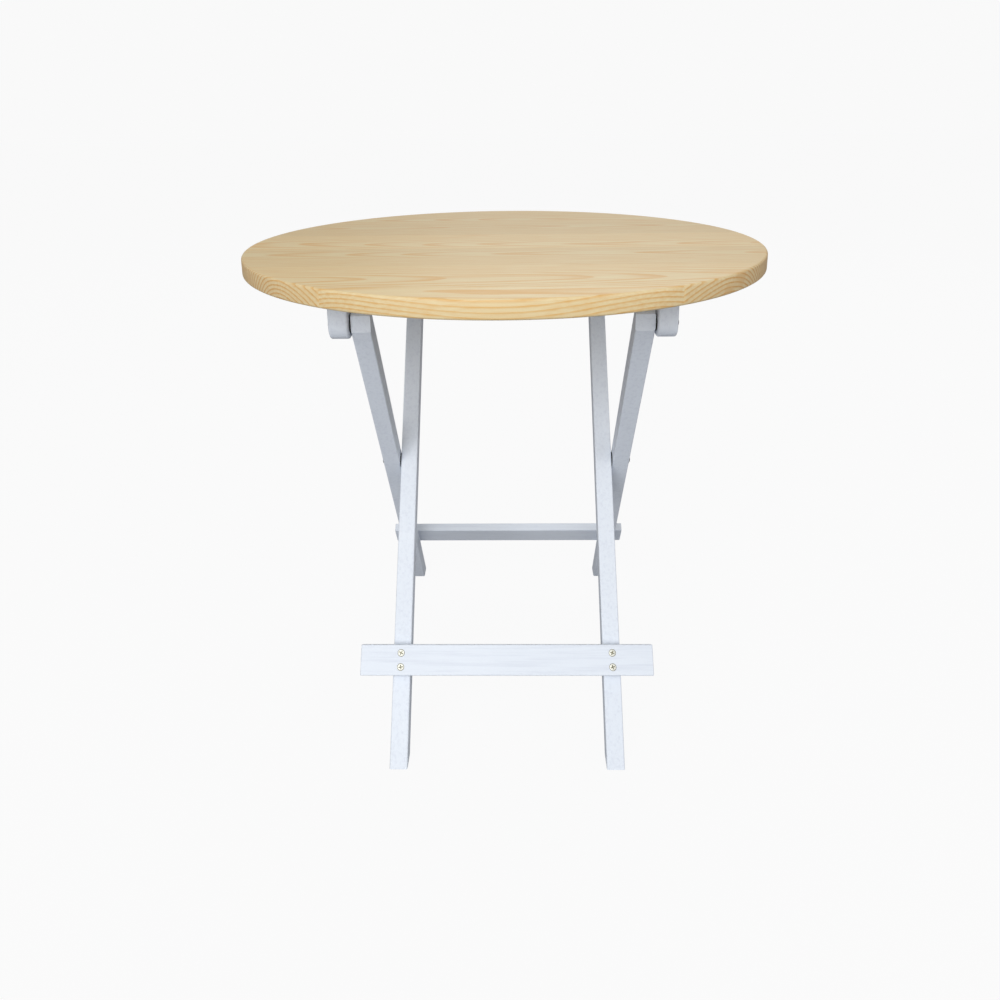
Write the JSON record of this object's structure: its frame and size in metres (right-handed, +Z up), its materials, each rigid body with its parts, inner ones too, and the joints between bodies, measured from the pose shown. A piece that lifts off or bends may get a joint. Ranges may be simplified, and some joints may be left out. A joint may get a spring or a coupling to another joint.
{
  "type": "folding table",
  "caption": "Small round folding table with a boarded pine top on white crossed legs; the leg frames scissor shut as the top tips up on its front hinge.",
  "frame": {"origin": "on the floor, under the middle of the round top", "axes": "+X to the right along the top's boards, -Y to the front where the top is hinged, +Z up"},
  "size_m": [0.6, 0.6, 0.57],
  "materials": {
    "pine": "clear satin varnish over edge-glued pine",
    "white_paint": "satin white paint on wood",
    "zinc_screw": "zinc plated",
    "plain_screw": "zinc plated",
    "dark_steel": "black oxide",
    "insert_steel": "zinc plated"
  },
  "bodies": {
    "outer_frame": {"outer_leg_left": "white_paint", "outer_leg_right": "white_paint", "back_stretcher": "white_paint", "back_stretcher_screws": "zinc_screw", "hinge_insert_left": "insert_steel", "hinge_insert_right": "insert_steel", "hinge_bolt_left": "dark_steel", "hinge_bolt_right": "dark_steel", "hinge_spacer_left": "dark_steel", "hinge_spacer_right": "dark_steel", "crossing_spacer_left": "dark_steel", "crossing_spacer_right": "dark_steel"},
    "inner_frame": {"inner_leg_left": "white_paint", "inner_leg_right": "white_paint", "front_stretcher": "white_paint", "front_stretcher_screws": "zinc_screw", "crossbar": "white_paint", "crossbar_screws": "plain_screw", "crossing_insert_left": "insert_steel", "crossing_insert_right": "insert_steel", "crossing_bolt_left": "dark_steel", "crossing_bolt_right": "dark_steel"},
    "tabletop": {"batten_left": "white_paint", "batten_right": "white_paint", "batten_screws": "plain_screw", "runner_left": "white_paint", "runner_right": "white_paint", "runner_screws": "plain_screw", "stop_rail": "white_paint", "stop_rail_screws": "plain_screw", "top_board_1": "pine", "top_board_2": "pine", "top_board_3": "pine", "top_board_4": "pine", "top_board_5": "pine", "top_board_6": "pine", "top_board_7": "pine"}
  },
  "joints": [
    {"name": "leg_fold", "type": "hinge", "parent": "outer_frame", "child": "inner_frame", "pos_m": [0, 0, 0.288], "axis": [1, 0, 0], "range_deg": [0, 68]},
    {"name": "top_tilt", "type": "hinge", "parent": "outer_frame", "child": "tabletop", "pos_m": [0, -0.15265, 0.5101], "axis": [1, 0, 0], "range_deg": [0, 124.5]}
  ],
  "couplings": [
    {"joint": "top_tilt", "follows": "leg_fold", "ratio": 1.83}
  ]
}
